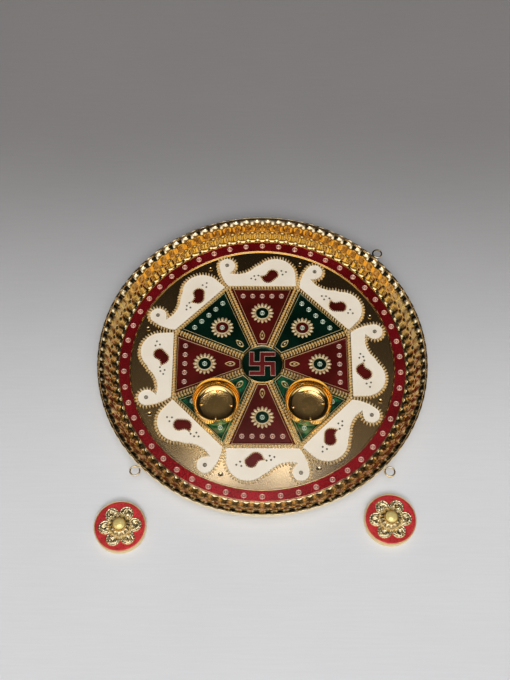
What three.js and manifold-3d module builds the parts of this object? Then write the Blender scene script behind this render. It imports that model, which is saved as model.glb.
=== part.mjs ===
// Kumkum tray, millimetres, +Z up. Origin: tray centre on the table. +Y is away from the viewer.
import * as THREE from "three";
import { mergeVertices } from "three/addons/utils/BufferGeometryUtils.js";
import Module from "manifold-3d";

const wasm = await Module();
wasm.setup();

// Pan
const SHEET = 1.0;              // thickness of the pressed sheet
const RIM_R = 101.5;            // 203 mm across the lip
const RIM_Z = 14.0;             // top of the lip
const LIP_THICK = 1.4;
const LIP_STRIP = 1.5;          // flat strip under the lip, where the eyes are soldered
const WALL_RUN = 11.2;          // lip to the foot of the wall
const WAIST_RUN = 6.0;          // lip to the waist between the two rows of flutes
const WAIST_Z = 6.7;
const FLUTES = 90;
const FLUTE_DEPTH = 0.9;
const FLUTE_OUT = 0.64;         // share of the depth that goes outward
const FLUTE_DOWN = 0.77;        // and downward
const FIELD_Z = SHEET;          // top of the flat mirror field
const LIP_UNDER_Z = RIM_Z - LIP_THICK;
const LIP_UNDER_R = RIM_R - LIP_STRIP;
const WALL_FOOT_R = RIM_R - WALL_RUN;
const WAIST_R = RIM_R - WAIST_RUN;

// Relief and enamel on the field
const ENAMEL = 0.45;            // thickness of the poured enamel
const ROPE = 1.5;               // height of the bead rows over the field
const LINE = 0.75;              // height of the plain lines
const PETAL = 0.95;
const PIP = 0.3;
const INLAY_GAP = 0.2;
const BAND_LINE_GAP = 0.2;
const BAND_LINE_WIDTH = 0.6;
const BAND_WIDTH = 6.6;
const RIDGE_WIDTH = 0.9;
const SECTORS = 8;
const OCTAGON_SHARE = 0.6695;   // of the ridge's radius
const OCTAGON_HALF_ROPE = 1.1;
const DIVIDER_HALF_ROPE = 1.8;
const BORDER_HALF = 0.6;
const MEDALLION_R = 12.3;
const MEDALLION_LINE = 0.7;
const ROSETTE_SHARE = 0.6575;   // of the octagon's apothem
const ROSETTE_HOLE_R = 4.3;
const ROSETTE_RING = 0.9;
const ROSETTE_ROOT = 0.5;
const ROSETTE_TIP = 1.7;
const ROSETTE_PETALS = 16;
const PIP_R = 1.6;
const PIP_SHARE = 0.9366;       // of the ridge's radius
const PIP_ANGLE = -0.328;       // from the middle of each sector
const SWASTIKA_SHARE = 0.6585;  // of the medallion's radius
const BAR_SHARE = 0.358;        // of the swastika's half width
const SWASTIKA_RISE = 0.3;
const ENAMEL_Z = FIELD_Z + ENAMEL;
const ROPE_Z = FIELD_Z + ROPE;
const LINE_Z = FIELD_Z + LINE;
const PETAL_Z = FIELD_Z + PETAL;
const SWASTIKA_Z = ENAMEL_Z + SWASTIKA_RISE;
const BAND_LINE_R = WALL_FOOT_R - BAND_LINE_GAP - BAND_LINE_WIDTH;
const RIDGE_R = BAND_LINE_R - BAND_WIDTH - RIDGE_WIDTH;
const HALF_SECTOR = Math.PI / SECTORS;
const OCTAGON_APOTHEM = RIDGE_R * OCTAGON_SHARE;
const OCTAGON_HALF_SIDE = OCTAGON_APOTHEM * Math.tan(HALF_SECTOR);
const ROSETTE_Y = OCTAGON_APOTHEM * ROSETTE_SHARE;
const ROSETTE_HUB_R = ROSETTE_HOLE_R + ROSETTE_RING;
const ROSETTE_ROOT_R = ROSETTE_HUB_R + ROSETTE_ROOT;
const ROSETTE_TIP_R = ROSETTE_ROOT_R + ROSETTE_TIP;
const SWASTIKA_HALF = MEDALLION_R * SWASTIKA_SHARE;
const SWASTIKA_BAR = SWASTIKA_HALF * BAR_SHARE;

// Cups and lids
const CUP_R = 14.4;
const CUP_WALL = 0.55;
const CUP_FILLET = 2.4;
const CUP_HEIGHT = 10.0;
const CUP_SHARE = 0.725;        // of the octagon's apothem
const SEAT_SHARE = 0.73;        // of the cup's radius
const CUP_AT_R = OCTAGON_APOTHEM * CUP_SHARE;
const SEAT_R = CUP_R * SEAT_SHARE;
const LID_CLEARANCE = 0.3;
const LID_WALL = 0.5;
const LID_HEIGHT = 4.4;
const LID_PLATE = 0.6;
const LID_RECESS = 0.5;
const LID_ENAMEL = 0.3;
const LID_RIM = 0.65;
const LID_R = CUP_R + LID_CLEARANCE + LID_WALL;
const LOBES = 6;
const LOBE_R = LID_R * 0.283;
const LOBE_AT_R = LID_R * 0.546;
const FLOWER_THICK = 1.3;
const BEZEL_R = 4.0;
const BEZEL_WALL = 0.5;
const BEZEL_RISE = 1.7;
const FLOWER_FOOT_R = BEZEL_R + 1.0;
const DOME_R = BEZEL_R + 2.6;
const DOME_RISE = 1.9;
const STONE_RISE = 1.0;
const LID_LEFT = { beyond: 32.2, angle: -2.2337, turn: 0.10 };
const LID_RIGHT = { beyond: 23.6, angle: -0.9340, turn: 0.03 };

// Wire eyes
const EYE_RING_R = 2.85;
const WIRE_R = 0.55;
const EYE_CLEAR = 0.5;          // open space between the lip and the ring
const EYE_AT_R = RIM_R + EYE_CLEAR + WIRE_R + EYE_RING_R;
const EYE_ANGLES = { back_right: Math.PI / 4, front_left: -3 * Math.PI / 4, front_right: -Math.PI / 4 };

const GOLD = new THREE.MeshStandardMaterial({ color: 0xd9a441, metalness: 1, roughness: 0.22 });
const RED = new THREE.MeshStandardMaterial({ color: 0x6e0a16, roughness: 0.2 });
const BRIGHT_RED = new THREE.MeshStandardMaterial({ color: 0xb5121f, roughness: 0.2 });
const GREEN = new THREE.MeshStandardMaterial({ color: 0x06301c, roughness: 0.2 });
const CREAM = new THREE.MeshStandardMaterial({ color: 0xefe4d2, roughness: 0.35 });
const STONE = new THREE.MeshStandardMaterial({ color: 0xe8c24a, roughness: 0.1 });

// Steps round a large ring and round a cup or lid
const RING_STEPS = 64;
const ROUND_STEPS = 32;

const SIDES = ["back", "back_left", "left", "front_left", "front", "front_right", "right", "back_right"];
const CUP_SIDES = { front_left: "left", front_right: "right" };

const root = new THREE.Group();
root.name = "kumkum_tray";

function volume(geometry) {
  const p = geometry.getAttribute("position");
  const index = geometry.getIndex();
  const a = new THREE.Vector3();
  const b = new THREE.Vector3();
  const c = new THREE.Vector3();
  let sum = 0;
  for (let i = 0; i < index.count; i += 3) {
    a.fromBufferAttribute(p, index.getX(i));
    b.fromBufferAttribute(p, index.getX(i + 1));
    c.fromBufferAttribute(p, index.getX(i + 2));
    sum += a.dot(b.cross(c));
  }
  return sum / 6;
}

function closed(geometry) {
  geometry.deleteAttribute("normal");
  geometry.deleteAttribute("uv");
  const merged = mergeVertices(geometry, 1e-4);
  const kept = [];
  const index = merged.getIndex();
  const inward = volume(merged) < 0;
  for (let i = 0; i < index.count; i += 3) {
    const [a, b, c] = [index.getX(i), index.getX(i + 1), index.getX(i + 2)];
    if (a !== b && b !== c && a !== c) kept.push(...(inward ? [a, c, b] : [a, b, c]));
  }
  merged.setIndex(kept);
  return merged;
}

function toManifold(geometry) {
  const g = closed(geometry);
  const vertProperties = new Float32Array(g.getAttribute("position").array);
  const triVerts = new Uint32Array(g.getIndex().array);
  return new wasm.Manifold(new wasm.Mesh({ numProp: 3, vertProperties, triVerts }));
}

function fromManifold(solid) {
  const mesh = solid.getMesh();
  const geometry = new THREE.BufferGeometry();
  geometry.setAttribute("position", new THREE.BufferAttribute(new Float32Array(mesh.vertProperties), 3));
  geometry.setIndex(Array.from(mesh.triVerts));
  return geometry;
}

function add(name, geometry, material) {
  const final = geometry.getIndex() ? geometry : closed(geometry);
  final.computeVertexNormals();
  const mesh = new THREE.Mesh(final, material);
  mesh.name = name;
  root.add(mesh);
  return mesh;
}

function turned(points, segments) {
  const profile = points.map(([r, z]) => new THREE.Vector2(r, z));
  return closed(new THREE.LatheGeometry(profile, segments).rotateX(Math.PI / 2));
}

function path(points, Kind = THREE.Shape) {
  return new Kind(points.map(([x, y]) => new THREE.Vector2(x, y)));
}

function slab(outline, z0, z1, holes = []) {
  const shape = path(outline);
  shape.holes = holes.map((hole) => path(hole, THREE.Path));
  const geometry = new THREE.ExtrudeGeometry(shape, { depth: z1 - z0, bevelEnabled: false });
  return closed(geometry.translate(0, 0, z0));
}

function arc(cx, cy, r, from, to, steps) {
  const points = [];
  for (let i = 0; i <= steps; i++) {
    const a = from + ((to - from) * i) / steps;
    points.push([cx + r * Math.cos(a), cy + r * Math.sin(a)]);
  }
  return points;
}

function circle(cx, cy, r, steps) {
  return arc(cx, cy, r, 0, 2 * Math.PI, steps).slice(0, steps);
}

// Moves a closed outline outward by d (inward when negative), corners kept
function offset(points, d) {
  const n = points.length;
  let area = 0;
  for (let i = 0; i < n; i++) {
    const [x0, y0] = points[i];
    const [x1, y1] = points[(i + 1) % n];
    area += x0 * y1 - x1 * y0;
  }
  const side = Math.sign(area);
  return points.map(([x, y], i) => {
    const [px, py] = points[(i + n - 1) % n];
    const [qx, qy] = points[(i + 1) % n];
    const a = new THREE.Vector2(x - px, y - py).normalize();
    const b = new THREE.Vector2(qx - x, qy - y).normalize();
    const normal = new THREE.Vector2(a.y + b.y, -a.x - b.x).normalize();
    const stretch = Math.min(1 / Math.max(normal.dot(new THREE.Vector2(a.y, -a.x)), 0.3), 2);
    return [x + normal.x * side * d * stretch, y + normal.y * side * d * stretch];
  });
}

function inSector(geometry, k) {
  return geometry.rotateZ((k * 2 * Math.PI) / SECTORS);
}

// Outlines, drawn in the sector that points along +Y

// Places on a paisley are in half sides of the octagon, from the middle of the side
function onSide(u, v) {
  return [u * OCTAGON_HALF_SIDE, OCTAGON_APOTHEM + v * OCTAGON_HALF_SIDE];
}

function sideArc(u, v, r, from, to, steps) {
  const deg = Math.PI / 180;
  return arc(...onSide(u, v), r * OCTAGON_HALF_SIDE, from * deg, to * deg, steps);
}

// Paisley: straight side on the octagon, round head on the right, curled tail on the left
function paisleyOutline() {
  const head = sideArc(0.383, 0.391, 0.607, -4, 138, 9);
  const hollow = sideArc(-0.748, 1.2, 0.721, -40, -100, 4);
  const curl = sideArc(-1.016, 0.726, 0.268, -46, 196, 9);
  const back = [onSide(-1.231, 0.444), onSide(-1.139, 0.224)];
  return [onSide(-1, 0), onSide(1, 0), ...head, ...hollow, ...curl, ...back];
}

// Small teardrop inside the paisley, with its tail to the left
function teardropOutline() {
  const head = sideArc(0.29, 0.427, 0.172, -20, 130, 5);
  const waist = [onSide(0.106, 0.427), onSide(0.035, 0.391), onSide(-0.062, 0.383)];
  const belly = sideArc(0.163, 0.339, 0.176, -160, -50, 4);
  return [...head, ...waist, ...belly];
}

function segmentOutline() {
  const clear = (DIVIDER_HALF_ROPE + INLAY_GAP) / Math.cos(HALF_SECTOR);
  const outer = OCTAGON_APOTHEM - OCTAGON_HALF_ROPE - INLAY_GAP;
  const slope = Math.tan(HALF_SECTOR);
  const inner = MEDALLION_R + MEDALLION_LINE + INLAY_GAP;
  const at = (y) => y * slope - clear;
  return [[-at(inner), inner], [at(inner), inner], [at(outer), outer], [-at(outer), outer]];
}

function petalOutline() {
  const points = [];
  for (let i = 0; i < 2 * ROSETTE_PETALS; i++) {
    const a = (i * Math.PI) / ROSETTE_PETALS;
    const r = i % 2 ? ROSETTE_ROOT_R : ROSETTE_TIP_R;
    points.push([r * Math.cos(a), ROSETTE_Y + r * Math.sin(a)]);
  }
  return points;
}

// Swastika arms: each bar runs out from the centre and turns clockwise
function swastikaOutline() {
  const h = SWASTIKA_BAR / 2;
  const e = SWASTIKA_HALF;
  const arm = [[-h, e], [e, e], [e, e - 2 * h], [h, e - 2 * h], [h, h]];
  const points = [];
  for (let k = 0; k < 4; k++) {
    const c = Math.round(Math.cos((-k * Math.PI) / 2));
    const s = Math.round(Math.sin((-k * Math.PI) / 2));
    for (const [x, y] of arm) points.push([x * c - y * s, x * s + y * c]);
  }
  return points;
}

// How far a point of the wall is pressed out into a flute hollow
function fluteWeight(r, z) {
  const under = z < LIP_UNDER_Z + 0.05 * LIP_THICK && r > LIP_UNDER_R - 0.05 * LIP_STRIP;
  if (r < WALL_FOOT_R + 0.4 * SHEET || under) return 0;
  if (r > RIM_R - 0.5 * LIP_STRIP) return 0.45;
  return Math.abs(r - WAIST_R) < 0.03 * WAIST_RUN ? 0.25 : 1;
}

function flutedPan() {
  const inner = WALL_RUN - WAIST_RUN;
  const underFoot = WALL_FOOT_R - 0.7 * SHEET;
  const underWaist = [WAIST_R - 0.1 * SHEET, WAIST_Z - 1.7 * SHEET];
  const underLip = [[LIP_UNDER_R, LIP_UNDER_Z], [RIM_R - 0.2 * LIP_STRIP, LIP_UNDER_Z]];
  const lip = [[RIM_R + 0.07 * LIP_STRIP, RIM_Z - 0.5 * LIP_THICK], [RIM_R - 0.27 * LIP_STRIP, RIM_Z]];
  const onOuter = (a, b) => [WAIST_R + a * WAIST_RUN, WAIST_Z + b * (RIM_Z - WAIST_Z)];
  const onInner = (a, b) => [WALL_FOOT_R + a * inner, FIELD_Z + b * (WAIST_Z - FIELD_Z)];
  const outerRow = [onOuter(0.567, 0.808), onOuter(0.25, 0.384)];
  const innerRow = [onInner(0.635, 0.579), onInner(0.192, 0.175), [WALL_FOOT_R, FIELD_Z]];
  const under = [[0, 0], [underFoot, 0], underWaist, ...underLip];
  const profile = [...under, ...lip, ...outerRow, [WAIST_R, WAIST_Z], ...innerRow, [0, FIELD_Z]];
  const geometry = turned(profile, 2 * FLUTES);
  const p = geometry.getAttribute("position");
  for (let i = 0; i < p.count; i++) {
    const [x, y, z] = [p.getX(i), p.getY(i), p.getZ(i)];
    const r = Math.hypot(x, y);
    const hollow = (1 + Math.cos(FLUTES * Math.atan2(y, x))) / 2;
    const depth = hollow * fluteWeight(r, z) * FLUTE_DEPTH;
    const grow = r > 0 ? (r + depth * FLUTE_OUT) / r : 1;
    p.setXYZ(i, x * grow, y * grow, z - depth * FLUTE_DOWN);
  }
  return toManifold(geometry);
}

function ringRib(r0, r1, top, segments) {
  return toManifold(slab(circle(0, 0, r1, segments), FIELD_Z / 2, top, [circle(0, 0, r0, segments)]));
}

function octagonRib() {
  const ring = (apothem) => circle(0, 0, apothem / Math.cos(HALF_SECTOR), SECTORS);
  const outer = ring(OCTAGON_APOTHEM + OCTAGON_HALF_ROPE);
  const inner = ring(OCTAGON_APOTHEM - OCTAGON_HALF_ROPE);
  const rib = slab(outer, FIELD_Z / 2, ROPE_Z, [inner]);
  return toManifold(rib.rotateZ(HALF_SECTOR));
}

function dividerRib(k) {
  const [w, y0] = [DIVIDER_HALF_ROPE, MEDALLION_R + MEDALLION_LINE / 2];
  const y1 = OCTAGON_APOTHEM / Math.cos(HALF_SECTOR);
  const rib = slab([[-w, y0], [w, y0], [w, y1], [-w, y1]], FIELD_Z / 2, ROPE_Z);
  return toManifold(inSector(rib.rotateZ(HALF_SECTOR), k));
}

function paisleyRib(k) {
  const line = paisleyOutline();
  const rib = slab(offset(line, BORDER_HALF), FIELD_Z / 2, ROPE_Z, [offset(line, -BORDER_HALF)]);
  return toManifold(inSector(rib, k));
}

function rosetteRib(k) {
  const hole = circle(0, ROSETTE_Y, ROSETTE_HOLE_R, 16);
  const hub = slab(circle(0, ROSETTE_Y, ROSETTE_HUB_R, 16), FIELD_Z / 2, PETAL_Z, [hole]);
  const petals = slab(petalOutline(), ENAMEL_Z, PETAL_Z, [hole]);
  return toManifold(inSector(hub, k)).add(toManifold(inSector(petals, k)));
}

function pip(k) {
  const a = Math.PI / 2 + PIP_ANGLE;
  const r = RIDGE_R * PIP_SHARE;
  const disc = circle(r * Math.cos(a), r * Math.sin(a), PIP_R, 8);
  return toManifold(inSector(slab(disc, FIELD_Z / 2, FIELD_Z + PIP), k));
}

function cupPlace(k) {
  const a = Math.PI / 2 + (k * 2 * Math.PI) / SECTORS;
  return [CUP_AT_R * Math.cos(a), CUP_AT_R * Math.sin(a)];
}

function buildPan() {
  let relief = octagonRib();
  for (let k = 0; k < SECTORS; k++) relief = relief.add(dividerRib(k)).add(paisleyRib(k));
  for (let k = 0; k < SECTORS; k++) {
    if (!CUP_SIDES[SIDES[k]]) continue;
    const [x, y] = cupPlace(k);
    const room = slab(circle(x, y, CUP_R + LID_CLEARANCE, 40), 0, ROPE_Z + 1);
    relief = relief.subtract(toManifold(room));
  }
  let pan = flutedPan().add(relief);
  pan = pan.add(ringRib(MEDALLION_R, MEDALLION_R + MEDALLION_LINE, LINE_Z, ROUND_STEPS));
  pan = pan.add(ringRib(RIDGE_R, RIDGE_R + RIDGE_WIDTH, LINE_Z, RING_STEPS));
  pan = pan.add(ringRib(BAND_LINE_R, BAND_LINE_R + BAND_LINE_WIDTH, LINE_Z, RING_STEPS));
  for (let k = 0; k < SECTORS; k++) {
    pan = pan.add(pip(k));
    if (!CUP_SIDES[SIDES[k]]) pan = pan.add(rosetteRib(k));
    else pan = pan.add(toManifold(slab(circle(...cupPlace(k), SEAT_R, 32), FIELD_Z / 2, ENAMEL_Z)));
  }
  add("tray_pan", fromManifold(pan), GOLD);
}

function buildBand() {
  const outer = circle(0, 0, BAND_LINE_R - INLAY_GAP, RING_STEPS);
  const inner = circle(0, 0, RIDGE_R + RIDGE_WIDTH + INLAY_GAP, RING_STEPS);
  add("band_enamel", slab(outer, FIELD_Z, ENAMEL_Z, [inner]), RED);
}

function buildSector(k) {
  const side = SIDES[k];
  const red = k % 2 === 0;
  const white = offset(paisleyOutline(), -BORDER_HALF - INLAY_GAP);
  white[0][1] = OCTAGON_APOTHEM + OCTAGON_HALF_ROPE + INLAY_GAP;
  white[1][1] = white[0][1];
  const drop = teardropOutline();
  const paisley = slab(white, FIELD_Z, ENAMEL_Z, [offset(drop, INLAY_GAP)]);
  add(`paisley_enamel_${side}`, inSector(paisley, k), CREAM);
  add(`teardrop_enamel_${side}`, inSector(slab(drop, FIELD_Z, ENAMEL_Z), k), RED);
  const cup = CUP_SIDES[side];
  const holeY = cup ? CUP_AT_R : ROSETTE_Y;
  const holeR = (cup ? SEAT_R : ROSETTE_HUB_R) + INLAY_GAP;
  const hole = circle(0, holeY, holeR, cup ? 32 : 16);
  const segment = slab(segmentOutline(), FIELD_Z, ENAMEL_Z, [hole]);
  add(`segment_enamel_${side}`, inSector(segment, k), red ? RED : GREEN);
  if (cup) return;
  const disc = circle(0, ROSETTE_Y, ROSETTE_HOLE_R - INLAY_GAP, 16);
  add(`rosette_enamel_${side}`, inSector(slab(disc, FIELD_Z, ENAMEL_Z), k), red ? GREEN : RED);
}

function buildMedallion() {
  add("medallion_enamel", slab(circle(0, 0, MEDALLION_R - INLAY_GAP, ROUND_STEPS), FIELD_Z, ENAMEL_Z), GREEN);
  add("swastika", slab(swastikaOutline(), ENAMEL_Z, SWASTIKA_Z), BRIGHT_RED);
}

function buildCup(k) {
  const [z, top] = [ENAMEL_Z, ENAMEL_Z + CUP_HEIGHT];
  const [ri, floor] = [CUP_R - CUP_WALL, ENAMEL_Z + CUP_WALL];
  const f = CUP_FILLET;
  const g = CUP_FILLET - CUP_WALL;
  const outside = arc(CUP_R - f, z + f, f, -Math.PI / 2, 0, 3);
  const inside = arc(ri - g, floor + g, g, 0, -Math.PI / 2, 3);
  const lip = [[CUP_R, top - 0.2], [CUP_R - 0.2, top], [ri + 0.1, top], [ri, top - 0.15]];
  const cup = turned([[0, z], ...outside, ...lip, ...inside, [0, floor]], ROUND_STEPS);
  add(`cup_${CUP_SIDES[SIDES[k]]}`, cup.translate(...cupPlace(k), 0), GOLD);
}

function buildEye(name, angle) {
  const ring = new THREE.TorusGeometry(EYE_RING_R, WIRE_R, 6, 18);
  ring.translate(EYE_AT_R, 0, LIP_UNDER_Z - WIRE_R);
  const [x0, x1] = [LIP_UNDER_R + 0.1 * LIP_STRIP, EYE_AT_R - EYE_RING_R];
  const stem = new THREE.BoxGeometry(x1 - x0, 2 * WIRE_R, 2 * WIRE_R);
  stem.translate((x0 + x1) / 2, 0, LIP_UNDER_Z - WIRE_R);
  const eye = fromManifold(toManifold(ring).add(toManifold(stem)));
  add(`eye_${name}`, eye.rotateZ(angle), GOLD);
}

function lobedOutline() {
  const points = [];
  const reach = Math.acos((LOBE_AT_R * Math.sin(Math.PI / LOBES)) / LOBE_R) + Math.PI / LOBES;
  for (let i = 0; i < LOBES; i++) {
    const a = (i * 2 * Math.PI) / LOBES;
    const [x, y] = [LOBE_AT_R * Math.cos(a), LOBE_AT_R * Math.sin(a)];
    points.push(...arc(x, y, LOBE_R, a - reach, a + reach, 6));
  }
  return points;
}

function buildLid(name, { beyond, angle, turn }) {
  const [x, y] = [(RIM_R + beyond) * Math.cos(angle), (RIM_R + beyond) * Math.sin(angle)];
  const place = (geometry) => geometry.rotateZ(turn).translate(x, y, 0);
  const inner = CUP_R + LID_CLEARANCE;
  const outer = LID_R;
  const plateTop = LID_HEIGHT - LID_RECESS;
  const plateUnder = plateTop - LID_PLATE;
  const recess = outer - LID_RIM;
  const skirt = [[inner - 0.4, plateUnder], [inner, plateUnder - 0.4], [inner, 0], [outer, 0]];
  const rim = [[outer, LID_HEIGHT - 0.3], [outer - 0.25, LID_HEIGHT], [recess, LID_HEIGHT]];
  const cap = turned([[0, plateUnder], ...skirt, ...rim, [recess, plateTop], [0, plateTop]], ROUND_STEPS);
  add(`lid_${name}_cap`, place(cap), GOLD);

  const enamelTop = plateTop + LID_ENAMEL;
  const hole = circle(0, 0, FLOWER_FOOT_R + INLAY_GAP, 20);
  const enamel = slab(circle(0, 0, recess - INLAY_GAP, ROUND_STEPS), plateTop, enamelTop, [hole]);
  add(`lid_${name}_enamel`, place(enamel), BRIGHT_RED);

  const flowerTop = enamelTop + FLOWER_THICK;
  const domeTop = flowerTop + DOME_RISE;
  const petals = toManifold(slab(lobedOutline(), enamelTop, flowerTop));
  const foot = toManifold(turned([[0, plateTop], [FLOWER_FOOT_R, plateTop], [FLOWER_FOOT_R, flowerTop],
    [DOME_R, flowerTop - 0.3 * FLOWER_THICK], [DOME_R, flowerTop], [BEZEL_R + 0.5, domeTop], [0, domeTop]], 24));
  add(`lid_${name}_flower`, place(fromManifold(petals.add(foot))), GOLD);

  const bezelTop = domeTop + BEZEL_RISE;
  const seat = domeTop + 0.5;
  const hollow = BEZEL_R - BEZEL_WALL;
  const wall = [[BEZEL_R + 0.2, domeTop], [BEZEL_R, bezelTop - 0.2], [BEZEL_R - 0.2, bezelTop]];
  const bezel = turned([[0, domeTop], ...wall, [hollow, bezelTop], [hollow, seat], [0, seat]], 24);
  add(`lid_${name}_bezel`, place(bezel), GOLD);

  const edge = hollow - INLAY_GAP;
  const crown = [[edge, bezelTop], [edge * 0.72, bezelTop + STONE_RISE * 0.7]];
  const stone = turned([[0, seat], [edge, seat], ...crown, [0, bezelTop + STONE_RISE]], 24);
  add(`lid_${name}_stone`, place(stone), STONE);
}

buildPan();
buildBand();
for (let k = 0; k < SECTORS; k++) buildSector(k);
buildMedallion();
for (let k = 0; k < SECTORS; k++) if (CUP_SIDES[SIDES[k]]) buildCup(k);
for (const [name, angle] of Object.entries(EYE_ANGLES)) buildEye(name, angle);
buildLid("left", LID_LEFT);
buildLid("right", LID_RIGHT);

export default root;
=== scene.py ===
import math

import bpy
import numpy as np
from mathutils import Matrix, Vector


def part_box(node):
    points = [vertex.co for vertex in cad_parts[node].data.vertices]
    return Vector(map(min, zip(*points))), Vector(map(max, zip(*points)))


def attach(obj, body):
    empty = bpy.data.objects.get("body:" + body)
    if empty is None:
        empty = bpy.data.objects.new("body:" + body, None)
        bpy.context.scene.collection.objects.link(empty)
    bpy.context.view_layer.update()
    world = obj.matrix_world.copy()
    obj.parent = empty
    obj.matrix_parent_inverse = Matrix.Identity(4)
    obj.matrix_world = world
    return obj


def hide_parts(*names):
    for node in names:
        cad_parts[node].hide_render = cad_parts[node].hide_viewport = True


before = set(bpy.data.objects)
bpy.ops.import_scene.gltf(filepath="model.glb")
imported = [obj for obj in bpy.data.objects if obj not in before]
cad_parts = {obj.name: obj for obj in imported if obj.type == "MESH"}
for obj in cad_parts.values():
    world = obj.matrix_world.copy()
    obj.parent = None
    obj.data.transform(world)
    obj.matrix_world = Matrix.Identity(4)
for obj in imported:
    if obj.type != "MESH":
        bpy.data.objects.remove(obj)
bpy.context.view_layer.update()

# ---------------------------------------------------------------- Camera
# A camera above the front edge of the table, looking down at the tray. Its place and focal
# length were fitted to the tray's outline, the eight-sided rope and the cups, at 510 by 680.
IMAGE_WIDTH = 510
FOCAL_PIXELS = 1022
SENSOR = 36
LOOK_AT = Vector((-0.00462, 0.01612, 0.0027))
CAMERA_DISTANCE = 0.6465
ELEVATION = math.radians(63.264)
ROLL = math.radians(-0.227)

lens = bpy.data.cameras.new("photo_camera")
lens.sensor_fit = "HORIZONTAL"
lens.sensor_width = SENSOR
lens.lens = SENSOR * FOCAL_PIXELS / IMAGE_WIDTH
lens.clip_start = 0.01
camera = bpy.data.objects.new("photo_camera", lens)
bpy.context.scene.collection.objects.link(camera)
bpy.context.scene.camera = camera
ahead = Vector((0, math.cos(ELEVATION), -math.sin(ELEVATION)))
across = Vector((1, 0, 0))
upward = across.cross(ahead)
camera_x = across * math.cos(ROLL) - upward * math.sin(ROLL)
camera_y = across * math.sin(ROLL) + upward * math.cos(ROLL)
camera.matrix_world = Matrix.Translation(LOOK_AT - ahead * CAMERA_DISTANCE) @ Matrix(
    (camera_x, camera_y, -ahead)
).transposed().to_4x4()


# ---------------------------------------------------------------- Studio
# A plain pale table top with a faint grain, in a soft room that the gold mirrors: warm light
# low down, pale walls in front and a dim ceiling with a lit panel. Four lamps light the tray.
class Wire:
    """One socket of a node tree. Arithmetic adds Math nodes, and node() adds any other."""

    def __init__(self, tree, socket=None):
        self.tree = tree
        self.socket = socket

    def node(self, kind, settings=None, inputs=None, output=0):
        made = self.tree.nodes.new(kind)
        for name, value in (settings or {}).items():
            if name == "stops":
                stops = made.color_ramp.elements
                while len(stops) < len(value):
                    stops.new(0.5)
                for stop, (at, colour) in zip(stops, value):
                    stop.position = at
                    stop.color = (*colour, 1)
            else:
                setattr(made, name, value)
        for name, value in (inputs or {}).items():
            if isinstance(value, Wire):
                self.tree.links.new(value.socket, made.inputs[name])
            else:
                made.inputs[name].default_value = value
        return Wire(self.tree, made.outputs[output] if made.outputs else None)

    def math(self, operation, a, b=0.0):
        return self.node("ShaderNodeMath", {"operation": operation}, {0: a, 1: b})

    def __add__(self, other):
        return self.math("ADD", self, other)

    def __radd__(self, other):
        return self.math("ADD", other, self)

    def __sub__(self, other):
        return self.math("SUBTRACT", self, other)

    def __rsub__(self, other):
        return self.math("SUBTRACT", other, self)

    def __mul__(self, other):
        return self.math("MULTIPLY", self, other)

    def __rmul__(self, other):
        return self.math("MULTIPLY", other, self)

    def __truediv__(self, other):
        return self.math("DIVIDE", self, other)

    def __pow__(self, other):
        return self.math("POWER", self, other)

    def between(self, low, high):
        """0 below low, 1 above high, smooth in between."""
        settings = {"interpolation_type": "SMOOTHSTEP"}
        inputs = {"Value": self, "From Min": low, "From Max": high}
        return self.node("ShaderNodeMapRange", settings, inputs)

    def blend(self, first, second):
        """first where this is 0, second where it is 1; both are colours."""
        inputs = {0: self}
        for socket, colour in ((6, first), (7, second)):
            inputs[socket] = colour if isinstance(colour, Wire) else (*colour, 1)
        return self.node("ShaderNodeMix", {"data_type": "RGBA"}, inputs, 2)

    def stretched(self, x, y, z):
        settings = {"operation": "MULTIPLY"}
        return self.node("ShaderNodeVectorMath", settings, {0: self, 1: (x, y, z)})

    def part(self, axis):
        return self.node("ShaderNodeSeparateXYZ", {}, {"Vector": self}, axis)

    def length(self):
        return self.node("ShaderNodeVectorMath", {"operation": "LENGTH"}, {0: self}, "Value")

    def along(self, direction):
        """How far this points the given way: 1 straight, 0 across."""
        settings = {"operation": "DOT_PRODUCT"}
        return self.node("ShaderNodeVectorMath", settings, {0: self, 1: direction}, "Value")

    def cloud(self, scale, detail=2.0):
        """Noise between 0 and 1; scale is in patches per metre."""
        inputs = {"Vector": self, "Scale": scale, "Detail": detail}
        return self.node("ShaderNodeTexNoise", {}, inputs)

    def relief(self, depth, strength=1.0):
        """Bump normal from this height; depth is in metres."""
        inputs = {"Height": self, "Distance": depth, "Strength": strength}
        return self.node("ShaderNodeBump", {}, inputs)


def finish(name, pattern, **fixed):
    """A material: fixed numbers sit on the shader, pattern(place) gives what changes."""
    made = bpy.data.materials.new(name)
    made.use_nodes = True
    made.node_tree.nodes.clear()
    place = Wire(made.node_tree).node("ShaderNodeTexCoord", output="Object")
    inputs = {key.replace("_", " "): value for key, value in fixed.items()}
    shader = place.node("ShaderNodeBsdfPrincipled", {}, {**inputs, **pattern(place)})
    place.node("ShaderNodeOutputMaterial", {}, {"Surface": shader})
    return made


def table_pattern(place):
    grain = place.stretched(12, 260, 1).cloud(3, 4)
    mottle = place.cloud(9, 3)
    tone = grain * 0.5 + mottle * 0.5
    # Painted shade: the table's colour darkens from the front towards the back; dim and lit are the
    # grain's darker and paler tones.
    away = place.part("Y").between(-0.09, 0.20)
    dim = away.blend((0.650, 0.668, 0.700), (0.246, 0.240, 0.246))
    lit = away.blend((0.760, 0.780, 0.815), (0.296, 0.290, 0.298))
    return {
        "Base Color": tone.blend(dim, lit),
        "Roughness": 0.42 + 0.15 * grain,
        "Normal": grain.relief(0.00006),
    }


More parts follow.
